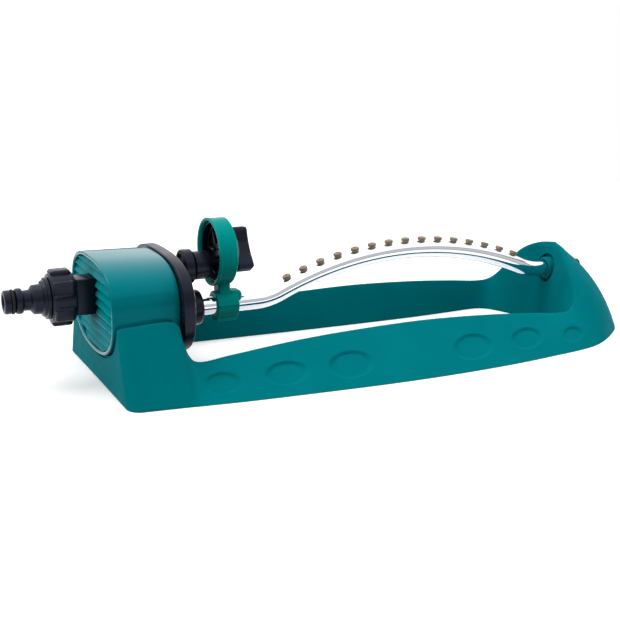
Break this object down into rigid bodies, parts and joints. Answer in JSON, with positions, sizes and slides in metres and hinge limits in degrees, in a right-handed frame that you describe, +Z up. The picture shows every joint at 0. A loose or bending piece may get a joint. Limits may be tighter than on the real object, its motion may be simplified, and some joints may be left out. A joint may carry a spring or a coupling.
{
  "type": "oscillating lawn sprinkler",
  "caption": "Lawn sprinkler: long ring-shaped plastic base, turbine housing with a hose connector, crank and range dial, and a bowed metal spray tube that rocks side to side.",
  "frame": {"origin": "centre of the bounding box's bottom, on the ground", "axes": "+X along the spray tube from the hose connector to the far end, +Z up, Y across, in the plane the tube rocks through"},
  "size_m": [0.4878, 0.193, 0.1065],
  "materials": {
    "teal_plastic": "satin moulded plastic",
    "gloss_teal_plastic": "gloss moulded plastic",
    "dial_teal_plastic": "semi-gloss moulded plastic",
    "black_plastic": "satin moulded plastic",
    "white_acetal": "natural acetal",
    "tan_elastomer": "matte elastomer",
    "black_rubber": "matte rubber",
    "polished_aluminium": "polished",
    "stainless_steel": "turned"
  },
  "bodies": {
    "base": {"base_frame": "teal_plastic", "motor_housing": "gloss_teal_plastic", "housing_cover": "black_plastic", "front_bearing_plate": "white_acetal", "rear_bearing_plate": "white_acetal", "lay_shaft": "stainless_steel", "shaft_seal": "black_rubber", "outlet_bushing": "black_plastic", "tube_seal": "black_rubber", "end_bushing": "teal_plastic", "inlet_filter": "white_acetal", "housing_screw_left": "stainless_steel", "housing_screw_right": "stainless_steel"},
    "tube": {"spray_tube": "polished_aluminium", "tube_plug": "black_plastic", "dial_housing": "dial_teal_plastic", "slot_plate": "black_plastic", "nozzle_01": "tan_elastomer", "nozzle_02": "tan_elastomer", "nozzle_03": "tan_elastomer", "nozzle_04": "tan_elastomer", "nozzle_05": "tan_elastomer", "nozzle_06": "tan_elastomer", "nozzle_07": "tan_elastomer", "nozzle_08": "tan_elastomer", "nozzle_09": "tan_elastomer", "nozzle_10": "tan_elastomer", "nozzle_11": "tan_elastomer", "nozzle_12": "tan_elastomer", "nozzle_13": "tan_elastomer", "nozzle_14": "tan_elastomer", "nozzle_15": "tan_elastomer"},
    "knob": {"range_knob": "black_plastic", "selector_disc": "white_acetal"},
    "crank_body": {"crank": "black_plastic", "output_gear": "white_acetal"},
    "roller": {"crank_roller": "white_acetal"},
    "lay": {"lay_gear": "white_acetal"},
    "turbine": {"turbine_wheel": "white_acetal", "turbine_shaft": "stainless_steel", "turbine_pinion": "white_acetal"},
    "swivel": {"swivel_nut": "black_plastic", "connector_nose": "black_plastic", "nose_oring": "black_rubber", "hose_washer": "black_rubber"}
  },
  "joints": [
    {"name": "tube_swing", "type": "hinge", "parent": "base", "child": "tube", "pos_m": [0, 0, 0.0433], "axis": [1, 0, 0], "range_deg": [-30, 30]},
    {"name": "range_knob_turn", "type": "hinge", "parent": "tube", "child": "knob", "pos_m": [-0.08, 0, 0.0823], "axis": [1, 0, 0], "range_deg": [-90, 90]},
    {"name": "crank_turn", "type": "hinge", "parent": "base", "child": "crank_body", "pos_m": [-0.13, 0, 0.061], "axis": [1, 0, 0], "range_deg": [-75, 75]},
    {"name": "roller_spin", "type": "hinge", "parent": "crank_body", "child": "roller", "pos_m": [-0.094, 0, 0.0735], "axis": [1, 0, 0], "continuous": true},
    {"name": "lay_gear_turn", "type": "hinge", "parent": "base", "child": "lay", "pos_m": [-0.16, 0.027, 0.061], "axis": [1, 0, 0], "range_deg": [-150, 150]},
    {"name": "turbine_spin", "type": "hinge", "parent": "base", "child": "turbine", "pos_m": [-0.17, 0, 0.061], "axis": [1, 0, 0], "range_deg": [-300, 300]},
    {"name": "inlet_swivel", "type": "hinge", "parent": "base", "child": "swivel", "pos_m": [-0.207, 0, 0.061], "axis": [1, 0, 0], "continuous": true}
  ],
  "couplings": [
    {"joint": "crank_turn", "follows": "tube_swing", "ratio": 2.5},
    {"joint": "lay_gear_turn", "follows": "tube_swing", "ratio": -5},
    {"joint": "turbine_spin", "follows": "tube_swing", "ratio": 10}
  ]
}
